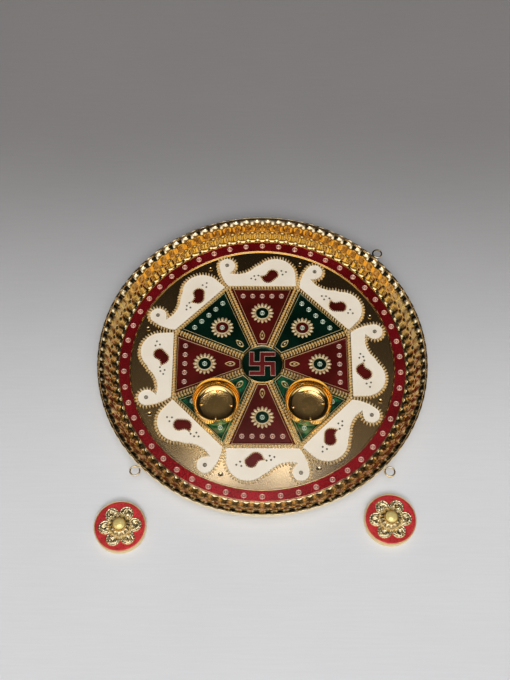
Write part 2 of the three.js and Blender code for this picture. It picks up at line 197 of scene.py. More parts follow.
TABLE_HALF = 4.0
TABLE_Z = -0.00005
corners = [(x * TABLE_HALF, y * TABLE_HALF, TABLE_Z) for x, y in ((-1, -1), (1, -1), (1, 1), (-1, 1))]
table_mesh = bpy.data.meshes.new("table")
table_mesh.from_pydata(corners, [], [(0, 1, 2, 3)])
table_mesh.materials.append(finish("table_laminate", table_pattern, Specular_IOR_Level=0.35))
table = bpy.data.objects.new("table", table_mesh)
bpy.context.scene.collection.objects.link(table)

# The room: heights are the share of the look that points up, 0 at the horizon, 1 overhead
FLOOR_GLOW = (0.42, 0.42, 0.42)
FRONT_WALL_GLOW = (1.35, 1.3, 1.2)
FAR_WALL_GLOW = (0.012, 0.013, 0.012)
DOORWAY_GLOW = (0.16, 0.085, 0.03)
CEILING_GLOW = ((0.008, 0.006, 0.005), (0.102, 0.086, 0.083))
SPOTS_GLOW = (0.42, 0.37, 0.38)
PANEL_GLOW = (2.1, 2.05, 2.0)
LOW_WALL_STOPS = [(0.10, (1.0, 0.72, 0.18)), (0.26, (0.17, 0.10, 0.04)), (0.52, (0.20, 0.155, 0.11))]
room = bpy.data.worlds.new("room")
room.use_nodes = True
room.node_tree.nodes.clear()
looking = Wire(room.node_tree).node("ShaderNodeTexCoord", output="Generated")
aside, behind, height = [looking.part(axis) for axis in "XYZ"]
walls = height.node("ShaderNodeValToRGB", {"stops": LOW_WALL_STOPS}, {0: height})
off_centre = aside * aside
doorways = off_centre.between(0.03, 0.06) * (1.0 - off_centre.between(0.16, 0.25))
walls = (doorways * (1.0 - height.between(0.4, 0.6))).blend(walls, DOORWAY_GLOW)
walls = height.between(0.52, 0.76).blend(walls, FRONT_WALL_GLOW)
walls = (0.0 - behind).between(-0.05, 0.35).blend(FAR_WALL_GLOW, walls)
ceiling = (height.between(0.845, 0.945) ** 2.0).blend(*CEILING_GLOW)
towards_spots = looking.along((0, 0.30, 0.954)).between(0.9975, 1.0002)
ceiling = towards_spots.blend(ceiling, SPOTS_GLOW)
panel = looking.along((0, -0.20, 0.98)).between(0.925, 0.948)
glow = panel.blend(height.between(0.78, 0.85).blend(walls, ceiling), PANEL_GLOW)
glow = height.between(-0.02, 0.0).blend(FLOOR_GLOW, glow)
shine = glow.node("ShaderNodeBackground", {}, {"Color": glow, "Strength": 1.0})
shine.node("ShaderNodeOutputWorld", {}, {"Surface": shine})
bpy.context.scene.world = room


def lamp(name, place, aim, size, brightness, colour, mirrored=True):
    """A round lamp; brightness is its own glow, which a mirror shows if mirrored is set."""
    light = bpy.data.lights.new(name, "AREA")
    light.shape = "DISK"
    light.size = size
    light.energy = brightness * math.pi * math.pi * (size / 2) ** 2
    light.color = colour
    thing = bpy.data.objects.new(name, light)
    thing.location = place
    thing.rotation_euler = (Vector(aim) - Vector(place)).to_track_quat("-Z", "Y").to_euler()
    bpy.context.scene.collection.objects.link(thing)
    thing.visible_glossy = mirrored


WARM, COOL = (1, 0.94, 0.84), (0.99, 0.99, 1)
IN_FRONT = (0, -0.05, 0)
lamp("ceiling_spot_left", (-0.083, 0.49, 1.56), (0, 0, 0), 0.06, 6, WARM)
lamp("ceiling_spot_right", (0.060, 0.50, 1.56), (0, 0, 0), 0.06, 6, WARM)
lamp("front_softbox", (0.05, -0.95, 1.05), IN_FRONT, 0.6, 6.8, COOL, mirrored=False)
lamp("overhead_softbox", (0.0, -0.52, 1.3), IN_FRONT, 0.5, 6.8, COOL, mirrored=False)
bpy.context.scene.view_settings.view_transform = "Standard"

# ---------------------------------------------------------------- Pan
# The tray is one pressing of thin brass, gold plated to a mirror: a flat field and a flared
# rim with a row of scooped flutes below a rolled lip that is pressed into rounded beads.
MM = 0.001
FLUTES = 90
FLUTE_STEPS = 14
SCOOP = 0.95
GAP = 1.15
FIELD_Z = 1.0
FIELD_R = 88.5
# Plate colours that stand for light: painted highlights, painted reflections and a painted shade
RIM_PAINTED_HIGHLIGHT = (1.0, 0.83, 0.50)
BEAD_PAINTED_HIGHLIGHT = (0.99, 0.84, 0.57)
WAIST_PAINTED_REFLECTION = (0.88, 0.50, 0.16)
FRONT_FIELD_PAINTED_REFLECTION = (0.80, 0.64, 0.42)
FRONT_RIM_PAINTED_REFLECTION = (0.70, 0.55, 0.34)
HOLLOW_PAINTED_SHADE = (0.13, 0.105, 0.065)


def gold_pattern(place):
    """Gold plate with painted light: paler on the beads and the rim away from the back as painted
    highlights, deeper orange at the waist and duller near the front as painted reflections, and dark
    in the flutes' hollows as painted shade.
    """
    patch = place.cloud(60, 3)
    out = place.stretched(1, 1, 0).length()
    x, y = place.part("X"), place.part("Y")

    def ring(rise, rise_end, fall, fall_end):
        """1 between two radii, each with its soft edge in millimetres."""
        return out.between(rise * MM, rise_end * MM) * (1.0 - out.between(fall * MM, fall_end * MM))

    rim = out.between(81.5 * MM, 83.0 * MM)
    far = y.between(35 * MM, 60 * MM)
    side = 1.0 - far
    bead = y.math("COSINE", y.math("ARCTAN2", y, x) * FLUTES)
    # Painted shade: dark reflections painted into the gaps between the far beads, the hollows of the
    # near rows and the roll's underside
    gaps = (0.0 - bead).between(0.1, 0.8) * out.between(98.8 * MM, 99.8 * MM) * far
    ovals = bead.between(-0.35, 0.45) * ring(96.8, 97.6, 100.0, 100.6) * side
    scoops = bead.between(-0.15, 0.55) * ring(90.8, 91.4, 93.6, 94.4) * side
    groove = ring(99.6, 100.2, 100.8, 101.2) * y.between(78 * MM, 92 * MM)
    # Painted reflections in the plate's tone: deep orange between the rows towards the back, a duller
    # rim near the front and a duller field there
    waist = ring(94.6, 95.4, 97.0, 98.2) * y.between(-60 * MM, 60 * MM)
    painted_light = (0.0 - y).between(20 * MM, 80 * MM) * rim * (1.0 - out.between(95.0 * MM, 96.2 * MM))
    near = (0.0 - y).between(45 * MM, 75 * MM) * (1.0 - rim)
    plate = patch.blend((0.97, 0.71, 0.33), (0.93, 0.66, 0.29))
    plate = near.blend(waist.blend(plate, WAIST_PAINTED_REFLECTION), FRONT_FIELD_PAINTED_REFLECTION)
    # Painted highlights: paler gold on the rim away from the back, and on the beads all round
    plate = (side * out.between(89.5 * MM, 90.5 * MM)).blend(plate, RIM_PAINTED_HIGHLIGHT)
    plate = painted_light.blend(out.between(97.5 * MM, 99.2 * MM).blend(plate, BEAD_PAINTED_HIGHLIGHT), FRONT_RIM_PAINTED_REFLECTION)
    dark = gaps.math("MAXIMUM", gaps * 0.85, ovals * 0.92)
    dark = dark.math("MAXIMUM", dark, scoops * 0.8)
    unevenness = place.cloud(40, 0)
    satin = side * out.between(90.0 * MM, 91.2 * MM)
    return {
        "Base Color": dark.math("MAXIMUM", dark, groove).blend(plate, HOLLOW_PAINTED_SHADE),
        "Roughness": 0.13 + 0.03 * unevenness - 0.06 * rim + 0.10 * satin,
        "Normal": unevenness.relief(0.000012, 0.5),
    }


gold = finish("pressed_gold_plate", gold_pattern, Metallic=1.0)


def dress(thing, material, body="tray", stands_for=(), crease=35):
    """Smooth shading with sharp creases, the material, and the piece's place in the frame."""
    if thing.name not in bpy.context.scene.collection.objects:
        bpy.context.scene.collection.objects.link(thing)
    thing.data.materials.clear()
    thing.data.materials.append(material)
    thing.data.shade_smooth()
    thing.data.set_sharp_from_angle(angle=math.radians(crease))
    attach(thing, body)
    if stands_for:
        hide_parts(*stands_for)
    return thing


def seed(name, points, edges=(), faces=()):
    """A plain object from points in millimetres."""
    mesh = bpy.data.meshes.new(name)
    mesh.from_pydata((np.asarray(points, float) * MM).tolist(), list(edges), list(faces))
    return bpy.data.objects.new(name, mesh)


def growth(name, sizes):
    """Starts a Geometry Nodes tree with named inputs and gives its sockets by name."""
    tree = bpy.data.node_groups.new(name, "GeometryNodeTree")
    tree.interface.new_socket(name="Geometry", in_out="OUTPUT", socket_type="NodeSocketGeometry")
    kinds = {"Geometry": "Geometry", **sizes, "Finish": "Material"}
    for label, kind in kinds.items():
        tree.interface.new_socket(name=label, in_out="INPUT", socket_type="NodeSocket" + kind)
    start = tree.nodes.new("NodeGroupInput")
    return tree, {label: Wire(tree, start.outputs[label]) for label in kinds}


def grown(tree, shape, given, merge=None):
    """Ends a tree: instances made real, merged if asked, smooth, with the finish."""
    shape = shape.node("GeometryNodeRealizeInstances", {}, {"Geometry": shape})
    if merge:
        inputs = {"Geometry": shape, "Distance": merge}
        shape = shape.node("GeometryNodeMergeByDistance", {}, inputs)
    inputs = {"Geometry": shape, "Material": given["Finish"]}
    shape = shape.node("GeometryNodeSetMaterial", {}, inputs)
    end = tree.nodes.new("NodeGroupOutput")
    tree.links.new(shape.socket, end.inputs[0])


def grow(thing, tree, material, **sizes):
    """Runs a tree on a seed object and keeps the result as its plain mesh."""
    bpy.context.scene.collection.objects.link(thing)
    modifier = thing.modifiers.new("growth", "NODES")
    modifier.node_group = tree
    values = {key.replace("_", " "): value for key, value in sizes.items()}
    values["Finish"] = material
    for socket in tree.interface.items_tree:
        if socket.in_out == "INPUT" and socket.name in values:
            modifier[socket.identifier] = values[socket.name]
    graph = bpy.context.evaluated_depsgraph_get()
    made = bpy.data.meshes.new_from_object(thing.evaluated_get(graph), depsgraph=graph)
    thing.modifiers.remove(modifier)
    thing.data = made
    return thing


# Copies a piece evenly round the tray's axis and welds the joins
around_tree, given = growth("round_the_tray", {"Count": "Int"})
spots = given["Count"].node("GeometryNodePoints", {}, {"Count": given["Count"]})
turn = given["Count"].node("GeometryNodeInputIndex") * (2 * math.pi) / given["Count"]
spin = turn.node("ShaderNodeCombineXYZ", {}, {"Z": turn})
spin = spin.node("FunctionNodeEulerToRotation", {}, {"Euler": spin})
inputs = {"Points": spots, "Instance": given["Geometry"], "Rotation": spin}
copies = spots.node("GeometryNodeInstanceOnPoints", {}, inputs)
grown(around_tree, copies, given, merge=0.000004)


# The section from the wall's foot to the tip of the lip, bend by bend: length, tilt at its
# end, steps, and at its end how deep the flutes' hollows and the gaps between beads sink
WALL_FOOT_R = 90.3
WAIST_R = 95.5
RIM_BENDS = [
    (0.6, 26, 3, 0.45, 0), (0.8, 50, 3, 0.8, 0), (1.0, 57, 3, 1.0, 0), (2.8, 57, 5, 0.9, 0),
    (1.5, 36, 5, 0.5, 0), (0.7, 42, 2, 0.15, 0), (0.5, 64, 2, 0, 0), (4.0, 64, 7, 0, 0.55),
    (1.3, 48, 4, 0, 0.9), (1.7, 24, 6, 0, 1.0), (0.7, 12, 3, 0, 0.85), (0.35, 70, 3, 0, 0.45),
    (0.55, 70, 2, 0, 0.25), (1.0, 0, 4, 0, 0.2), (0.85, -90, 4, 0, 0.2), (3.0, -95, 4, 0, 0.1),
    (1.0, -160, 4, 0, 0), (0.3, -190, 2, 0, 0),
]
RIM_UNDERSIDE = [
    (100.0, 9.7), (99.3, 9.5), (98.4, 9.0), (97.5, 7.9), (96.8, 6.4), (95.9, 5.0),
    (94.6, 3.2), (93.5, 1.5), (92.4, 0.4), (90.5, 0), (FIELD_R, 0),
]


def rim_rows():
    """Rows of the rim: radius, height, the way a hollow sinks, its depth in and between flutes."""
    r, z, tilt = WALL_FOOT_R, FIELD_Z, 0.0
    rows = [(FIELD_R, z, 0, -1, 0.0, 0.0), (r, z, 0, -1, 0.0, 0.0)]
    scoop, gap = 0.0, 0.0
    for length, end, steps, scoop_end, gap_end in RIM_BENDS:
        for i in range(steps):
            share = (i + 0.5) / steps
            lean = math.radians(tilt + (end - tilt) * share)
            r += math.cos(lean) * length / steps
            z += math.sin(lean) * length / steps
            share = (i + 1) / steps
            lean = math.radians(tilt + (end - tilt) * share)
            scoop_depth = SCOOP * (scoop + (scoop_end - scoop) * share)
            gap_depth = GAP * (gap + (gap_end - gap) * share)
            rows.append((r, z, math.sin(lean), -math.cos(lean), scoop_depth, gap_depth))
        tilt, scoop, gap = end, scoop_end, gap_end
    return rows + [(r, z, 0, -1, 0.0, 0.0) for r, z in RIM_UNDERSIDE]


def flute():
    """One flute of the rim, from rib to rib, with its share of the field and underside."""
    rows = rim_rows()
    points = []
    for r, z, away, down, scoop, gap in rows:
        narrow = 1 + 2.0 * max(0.0, (WAIST_R - r) / (WAIST_R - WALL_FOOT_R)) ** 2
        for i in range(FLUTE_STEPS + 1):
            phase = math.pi * (2 * i / FLUTE_STEPS - 1)
            side = abs(math.sin(phase / 2))
            sink = scoop * (1 - side ** 2.6) ** narrow + gap * side ** 2.4
            angle = phase / FLUTES
            reach = r + away * sink
            points.append((reach * math.cos(angle), reach * math.sin(angle), z + down * sink))
    width = FLUTE_STEPS + 1
    faces = []
    for j in range(len(rows) - 1):
        for i in range(FLUTE_STEPS):
            a = j * width + i
            faces.append((a, a + width, a + width + 1, a + 1))
    top_centre = len(points)
    points += [(0, 0, FIELD_Z), (0, 0, 0)]
    last = (len(rows) - 1) * width
    for i in range(FLUTE_STEPS):
        faces.append((i, i + 1, top_centre))
        faces.append((last + i + 1, last + i, top_centre + 1))
    return seed("pan_pressing", points, faces=faces)


pan = grow(flute(), around_tree, gold, Count=FLUTES)
dress(pan, gold, stands_for=["tray_pan"], crease=28)


# ---------------------------------------------------------------- Bead ropes and plain lines
# Rows of small slanted beads are raised out of the field: one row along the eight sides, two
# along each of the eight spokes. A fine plain line runs beside them round every segment.
SECTORS = 8
HALF_SECTOR = math.pi / SECTORS
APOTHEM = 54.9
HALF_SIDE = APOTHEM * math.tan(HALF_SECTOR)
ENAMEL_Z = 1.45
BEAD_Z = 1.55


def pressed_ornament(name, dark, light):
    """Small pressed ornaments, softly shining, in gold tones that carry painted highlights,
    reflections and shade.
    """

    def pattern(place):
        patch = place.cloud(300, 2)
        return {
            "Base Color": patch.blend(dark, light),
            "Roughness": 0.24 + 0.14 * patch,
            "Normal": patch.relief(0.00004, 0.5),
        }

    return finish(name, pattern, Metallic=0.62)


# Painted light: pale gold is a painted highlight, cream gold a painted reflection of white light,
# rose and mint gold painted reflections of the red and green enamel round them, and shaded old gold
# painted shade on the dots and tail florets.
pale_gold = pressed_ornament("painted_light_pale_gold", (0.88, 0.66, 0.31), (0.98, 0.80, 0.44))
cream_gold = pressed_ornament("painted_light_cream_gold", (0.88, 0.69, 0.38), (0.97, 0.82, 0.54))
rose_gold = pressed_ornament("painted_light_rose_gold", (0.86, 0.56, 0.44), (0.98, 0.74, 0.62))
mint_gold = pressed_ornament("painted_light_mint_gold", (0.64, 0.78, 0.62), (0.84, 0.94, 0.80))
shaded_gold = pressed_ornament("shaded_old_gold", (0.085, 0.062, 0.030), (0.17, 0.13, 0.07))

# Beads along drawn lines: pitch, bead size along, across and up, and their slant
sizes = {"Pitch": "Float", "Bead": "Vector", "Slant": "Float"}
bead_rows, given = growth("beads_along_a_line", sizes)
line = given["Geometry"].node("GeometryNodeMeshToCurve", {}, {"Mesh": given["Geometry"]})
inputs = {"Curve": line, "Length": given["Pitch"]}
line = line.node("GeometryNodeResampleCurve", {"mode": "LENGTH"}, inputs)
bead = line.node("GeometryNodeMeshUVSphere", {}, {"Segments": 8, "Rings": 6, "Radius": 0.5})
along = line.node("GeometryNodeInputTangent")
settings = {"axis": "X", "pivot_axis": "Z"}
turned_to = line.node("FunctionNodeAlignRotationToVector", settings, {"Vector": along})
lean = line.node("ShaderNodeCombineXYZ", {}, {"Z": given["Slant"]})
lean = lean.node("FunctionNodeEulerToRotation", {}, {"Euler": lean})
inputs = {"Rotation": turned_to, "Rotate By": lean}
turned_to = turned_to.node("FunctionNodeRotateRotation", {"rotation_space": "LOCAL"}, inputs)
inputs = {"Points": line, "Instance": bead, "Rotation": turned_to, "Scale": given["Bead"]}
beads = line.node("GeometryNodeInstanceOnPoints", {}, inputs)
grown(bead_rows, beads, given)

# A round wire along drawn lines
wire_lines, given = growth("wire_along_a_line", {"Radius": "Float"})
line = given["Geometry"].node("GeometryNodeMeshToCurve", {}, {"Mesh": given["Geometry"]})
inputs = {"Resolution": 8, "Radius": given["Radius"]}
round_section = line.node("GeometryNodeCurvePrimitiveCircle", {"mode": "RADIUS"}, inputs)
inputs = {"Curve": line, "Profile Curve": round_section, "Fill Caps": True}
wires = line.node("GeometryNodeCurveToMesh", {}, inputs)
grown(wire_lines, wires, given)


def lines(name, paths, z, loop=False):
    """Polylines in the plane, millimetres, as one seed object of edges."""
    points, edges = [], []
    for path in paths:
        first = len(points)
        points += [(x, y, z) for x, y in path]
        edges += [(first + i, first + i + 1) for i in range(len(path) - 1)]
        if loop:
            edges.append((len(points) - 1, first))
    return seed(name, points, edges)


def in_sector(path, k):
    """A path drawn in the sector along +Y, turned into sector k."""
    c, s = math.cos(2 * HALF_SECTOR * k), math.sin(2 * HALF_SECTOR * k)
    return [(x * c - y * s, x * s + y * c) for x, y in path]


def beaded(
    name, paths, pitch, bead, slant=0.0, z=BEAD_Z, loop=False, body="tray", material=pale_gold
):
    """A row of beads along each path: pitch and bead in millimetres, slant in degrees."""
    thing = grow(
        lines(name, paths, z, loop), bead_rows, material,
        Pitch=pitch * MM, Bead=[size * MM for size in bead], Slant=math.radians(slant),
    )
    return dress(thing, material, body, crease=60)


def wired(name, paths, radius, z, loop=False, material=pale_gold):
    thing = grow(lines(name, paths, z, loop), wire_lines, material, Radius=radius * MM)
    return dress(thing, material, crease=50)


def octagon(apothem):
    reach = apothem / math.cos(HALF_SECTOR)
    angles = [HALF_SECTOR * (2 * k + 1) for k in range(SECTORS)]
    return [(reach * math.cos(a), reach * math.sin(a)) for a in angles]


def spoke(offset, start, end):
    """A line beside the spoke at the right-hand edge of the sector along +Y."""
    c, s = math.cos(HALF_SECTOR), math.sin(HALF_SECTOR)
    return [(s * r - c * offset, c * r + s * offset) for r in (start, end)]


SPOKE_START = 13.9
SPOKE_END = 57.6
SPOKE_ROW_OFFSET = 1.02
SPOKE_SLANT = 32.4
beaded("octagon_rope", [octagon(APOTHEM)], 1.9, (1.15, 2.4, 1.7), 30, loop=True)
for side, turn in (("right", -1), ("left", 1)):
    row = spoke(turn * SPOKE_ROW_OFFSET, SPOKE_START, SPOKE_END)
    rows = [in_sector(row, k) for k in range(SECTORS)]
    beaded(f"spoke_rope_{side}", rows, 1.85, (1.0, 1.9, 1.6), turn * SPOKE_SLANT)

LINE_R = 0.24
LINE_Z = 1.5
SEGMENT_INNER_Y = 14.0
SEGMENT_OUTER_Y = 53.25
INNER_SPOKE_GAP = 2.75
OUTER_SPOKE_GAP = 3.3
slope = math.tan(HALF_SECTOR)
inner_half = SEGMENT_INNER_Y * slope - INNER_SPOKE_GAP / math.cos(HALF_SECTOR)
outer_half = SEGMENT_OUTER_Y * slope - OUTER_SPOKE_GAP / math.cos(HALF_SECTOR)
frame_line = [
    (-inner_half, SEGMENT_INNER_Y), (inner_half, SEGMENT_INNER_Y),
    (outer_half, SEGMENT_OUTER_Y), (-outer_half, SEGMENT_OUTER_Y),
]
wired("segment_lines", [in_sector(frame_line, k) for k in range(SECTORS)], LINE_R, LINE_Z, loop=True)

# ---------------------------------------------------------------- Paisleys
# Eight mango motifs of cream enamel stand on the sides of the octagon. Each has a milled gold
# border, a dark red drop with fine gold teeth, dots painted dark as the shade of pits, and a small
# floret in its tail.


def arc(cx, cy, r, start, end, steps):
    angles = [math.radians(start + (end - start) * i / steps) for i in range(steps + 1)]
    return [(cx + r * math.cos(a), cy + r * math.sin(a)) for a in angles]


paisley_line = (
    [(HALF_SIDE, APOTHEM)]
    + arc(8.7, 63.8, 13.8, -4, 138, 40)
    + arc(-17.0, 82.2, 16.4, -40, -100, 20)
    + arc(-23.1, 71.4, 6.1, -46, 196, 36)
    + [(-28.0, 65.0), (-25.9, 60.0), (-HALF_SIDE, APOTHEM)]
)
drop_line = (
    arc(6.6, 64.6, 3.9, -20, 130, 16)
    + [(2.4, 64.6), (0.8, 63.8), (-1.4, 63.6)]
    + arc(3.7, 62.6, 4.0, -160, -50, 14)
)
borders = [in_sector(paisley_line, k) for k in range(SECTORS)]
beaded("paisley_borders", borders, 1.95, (1.0, 2.5, 1.6), 12, z=LINE_Z, material=cream_gold)
teeth = [in_sector(drop_line, k) for k in range(SECTORS)]
beaded(
    "paisley_drop_teeth", teeth, 1.25, (0.6, 1.5, 0.9), z=ENAMEL_Z, loop=True, material=cream_gold
)


def enamel(name, dark, light, depth=0.00003, patch=55, **fixed):
    """Poured enamel: slow change of tone and a faint orange peel."""

    def pattern(place):
        tone = place.cloud(patch, 3)
        peel = place.cloud(420, 2)
        return {
            "Base Color": tone.between(0.3, 0.7).blend(dark, light),
            "Roughness": 0.10 + 0.14 * tone,
            "Normal": (0.5 * tone + 0.5 * peel).relief(depth),
        }

    return finish(name, pattern, **fixed)


def glaze(material, names):
    """Gives CAD nodes whose shape is right their enamel."""
    for node in names:
        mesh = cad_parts[node].data
        mesh.materials.clear()
        mesh.materials.append(material)


SIDES = ["back", "back_left", "left", "front_left", "front", "front_right", "right", "back_right"]
CUP_SIDES = ("front_left", "front_right")
cream = enamel(
    "cream_enamel", (0.87, 0.79, 0.65), (0.92, 0.85, 0.73), Coat_Weight=0.25, Coat_Roughness=0.12
)
dark_red = enamel(
    "dark_red_enamel", (0.078, 0.006, 0.004), (0.135, 0.008, 0.006),
    Metallic=0.35, Coat_Weight=0.15, Coat_Roughness=0.06,
)
green = enamel(
    "green_enamel", (0.001, 0.020, 0.010), (0.002, 0.044, 0.022),
    Metallic=0.75, Coat_Weight=0.6, Coat_Roughness=0.05,
)
glaze(cream, [f"paisley_enamel_{side}" for side in SIDES])
glaze(dark_red, [f"teardrop_enamel_{side}" for side in SIDES])


def bands(rows, count, loop=False):
    """Faces between rows of count points that run round; loop joins the last row to the first."""
    faces = []
    for j in range(rows if loop else rows - 1):
        a, b = j * count, (j + 1) % rows * count
        for i in range(count):
            n = (i + 1) % count
            faces.append((a + i, a + n, b + n, b + i))
    return faces


def capped(rows, count):
    """Faces of a closed knob: bands, a fan to the point after the last row, a flat underside."""
    faces = bands(rows, count)
    last = (rows - 1) * count
    faces += [(last + i, last + (i + 1) % count, rows * count) for i in range(count)]
    return faces + [tuple(reversed(range(count)))]


def relief_mesh(name, outline, centre, steps, lift=None):
    """A raised ornament: its outline shrunk in steps (share, height) towards the centre."""
    outline = np.asarray(outline, float)
    centre = np.asarray(centre, float)
    count = len(outline)
    points = []
    for share, height in steps:
        ring = centre + (outline - centre) * share
        for i, (x, y) in enumerate(ring):
            points.append((x, y, height + (lift(share, i / count) if lift else 0.0)))
    points.append((*centre, steps[-1][1]))
    return seed(name, points, faces=capped(len(steps), count))


# Sets copies of an ornament out on given points
set_out, given = growth("ornaments_on_points", {"Ornament": "Object"})
inputs = {"Object": given["Ornament"]}
shape = given["Ornament"].node("GeometryNodeObjectInfo", {}, inputs, "Geometry")
inputs = {"Points": given["Geometry"], "Instance": shape}
grown(set_out, shape.node("GeometryNodeInstanceOnPoints", {}, inputs), given)


def scattered(name, ornament, places, z, material, crease=50):
    """Copies of an ornament, which is drawn round the origin, at places in the plane."""
    bpy.context.scene.collection.objects.link(ornament)
    spots = seed(name, [(x, y, z) for x, y in places])
    thing = grow(spots, set_out, material, Ornament=ornament)
    bpy.data.objects.remove(ornament)
    return dress(thing, material, crease=crease)


def ring_points(r, count, wave=0.0, waves=1):
    """A circle whose radius swells by wave, waves times round."""
    angles = [2 * math.pi * i / count for i in range(count)]
    radii = [r * (1 + wave * (math.cos(waves * a) - 1) / 2) for a in angles]
    return [(q * math.cos(a), q * math.sin(a)) for q, a in zip(radii, angles)]


def shrunk(outline, steps):
    """The outline once for each step (share, height), smaller by the share."""
    return [(x * share, y * share, height) for share, height in steps for x, y in outline]


def hoop(outline, steps):
    """Points and faces of a closed raised ring."""
    return shrunk(outline, steps), bands(len(steps), len(outline), loop=True)


def knob(outline, steps):
    """Points and faces of a closed raised knob."""
    points = shrunk(outline, steps) + [(0, 0, steps[-1][1])]
    return points, capped(len(steps), len(outline))


def joined(name, parts):
    """Several lots of points and faces as one seed object."""
    points, faces = [], []
    for more, sides in parts:
        faces += [tuple(len(points) + i for i in side) for side in sides]
        points += more
    return seed(name, points, faces=faces)


def floret(name, r, petals=7):
    """A small pressed flower: an open ring of petals with a seed in its middle."""
    steps = [(1.0, 0.0), (0.96, 0.38), (0.8, 0.52), (0.62, 0.4), (0.58, 0.0)]
    petal_ring = hoop(ring_points(r, 2 * petals, 0.16, petals), steps)
    middle_seed = knob(ring_points(0.36 * r, 6), [(1.0, 0.0), (0.85, 0.4), (0.4, 0.58)])
    return joined(name, [petal_ring, middle_seed])


def all_round(points, sectors=range(SECTORS)):
    """Points of the sector along +Y, repeated in each of the sectors given."""
    return [p for k in sectors for p in in_sector(points, k)]


DOTS = [
    (-7.25, 61.75), (-5.25, 63.6), (-4.5, 61.0),
    (12.5, 67.5), (15.5, 66.75), (13.25, 64.75), (-2.6, 64.0),
]
DOT_R = 0.62
TAIL = (-23.1, 71.6)
pit = relief_mesh("dot", ring_points(DOT_R, 10), (0, 0), [(1.0, 0.0), (1.0, 0.12), (0.6, 0.08)])
scattered("paisley_dots", pit, all_round(DOTS), ENAMEL_Z, shaded_gold)
tail_floret = floret("tail_floret", 1.35)
scattered("paisley_tail_florets", tail_floret, all_round([TAIL]), ENAMEL_Z, shaded_gold)

# ---------------------------------------------------------------- Enamel band
# A sunk ring of red enamel, fused clear over the gold so that it glows where it faces the
# light, with fifty pressed gold florets. A plain ridge and a fine line close it in.
BAND_FLORETS = 50
BAND_FLORET_R = 86.5


def clear_red_pattern(place):
    tone = place.cloud(38, 3)
    grain = place.cloud(700, 2)
    return {
        "Base Color": tone.between(0.35, 0.7).blend((0.40, 0.010, 0.013), (0.64, 0.020, 0.032)),
        "Roughness": 0.14 + 0.12 * grain,
        "Normal": (0.6 * tone + 0.4 * grain).relief(0.00004, 0.5),
    }


clear_red = finish(
    "band_red_enamel", clear_red_pattern, Metallic=0.8, Coat_Weight=1.0, Coat_Roughness=0.03
)
glaze(clear_red, ["band_enamel"])
turns = [2 * math.pi * i / BAND_FLORETS + math.pi / 2 for i in range(BAND_FLORETS)]
places = [(BAND_FLORET_R * math.cos(a), BAND_FLORET_R * math.sin(a)) for a in turns]
scattered("band_florets", floret("band_floret", 1.85, 8), places, ENAMEL_Z, rose_gold)


def turned(name, profile, steps, centre=(0, 0), loop=False):
    """A turned piece: (radius, height) points from the axis round to the axis, or a ring."""
    points, rings = [], []
    for r, z in profile:
        if r == 0:
            rings.append([len(points)] * steps)
            points.append((centre[0], centre[1], z))
            continue
        rings.append(list(range(len(points), len(points) + steps)))
        for i in range(steps):
            a = 2 * math.pi * i / steps
            points.append((centre[0] + r * math.cos(a), centre[1] + r * math.sin(a), z))
    faces = []
    for lower, upper in zip(rings, rings[1:] + ([rings[0]] if loop else [])):
        for i in range(steps):
            n = (i + 1) % steps
            corners = [lower[i], lower[n], upper[n], upper[i]]
            corners = [c for j, c in enumerate(corners) if c not in corners[:j]]
            if len(corners) > 2:
                faces.append(tuple(corners))
    return seed(name, points, faces=faces)


def ring_section(r0, r1, top, base=FIELD_Z - 0.2):
    """Round-topped section of a raised ring, drawn outward over the top."""
    rise = [(0.0, 0.6), (0.12, 0.86), (0.35, 1.0), (0.65, 1.0), (0.88, 0.86), (1.0, 0.6)]
    arch = [(r0 + s * (r1 - r0), FIELD_Z + h * (top - FIELD_Z)) for s, h in rise]
    return [(r1, base), *reversed(arch), (r0, base)]


RIDGE_Z = 1.75
RIDGE = (82.0, 82.9)
BAND_LINE = (89.5, 90.1)
dress(turned("band_ridge", ring_section(*RIDGE, RIDGE_Z), 256, loop=True), gold)
dress(turned("band_line", ring_section(*BAND_LINE, RIDGE_Z), 256, loop=True), gold)

# One hollow-topped pip stands in the field between each two paisleys
PIP_R = 1.6
PIP_AT_R = 76.8
PIP_ANGLE = math.pi / 2 - 0.328
PIP_STEPS = [(1.0, 0.0), (0.92, 0.3), (0.78, 0.36), (0.6, 0.22), (0.3, 0.14)]
spot = (PIP_AT_R * math.cos(PIP_ANGLE), PIP_AT_R * math.sin(PIP_ANGLE))
pip = relief_mesh("pip", ring_points(PIP_R, 24), (0, 0), PIP_STEPS)
scattered("field_pips", pip, all_round([spot]), FIELD_Z - 0.02, gold)

# ---------------------------------------------------------------- Segments
# Eight wedges of enamel inside the octagon, dark red and green by turns. Each has a row of
# florets, a petalled rosette round enamel of the other colour, and a gold drop. The two under
# the cups show only the ends of the row and the drop, and their green is painted brighter in
# patches, as painted glints.
glaze(dark_red, [f"segment_enamel_{side}" for side in SIDES[0::2]])
# Green enamel with bright patches of painted glints
green_painted_glints = enamel(
    "green_painted_glints_enamel", (0.001, 0.026, 0.013), (0.008, 0.19, 0.07), depth=0.0003, patch=210,
    Metallic=0.6, Coat_Weight=1.0, Coat_Roughness=0.03,
)
glaze(green, ["segment_enamel_back_left", "segment_enamel_back_right"])
glaze(green_painted_glints, [f"segment_enamel_{side}" for side in CUP_SIDES])
open_sides = [k for k, side in enumerate(SIDES) if side not in CUP_SIDES]
red_sides = [k for k in open_sides if k % 2 == 0]
green_sides = [k for k in open_sides if k % 2 == 1]
glaze(green, [f"rosette_enamel_{SIDES[k]}" for k in red_sides])
glaze(dark_red, [f"rosette_enamel_{SIDES[k]}" for k in green_sides])

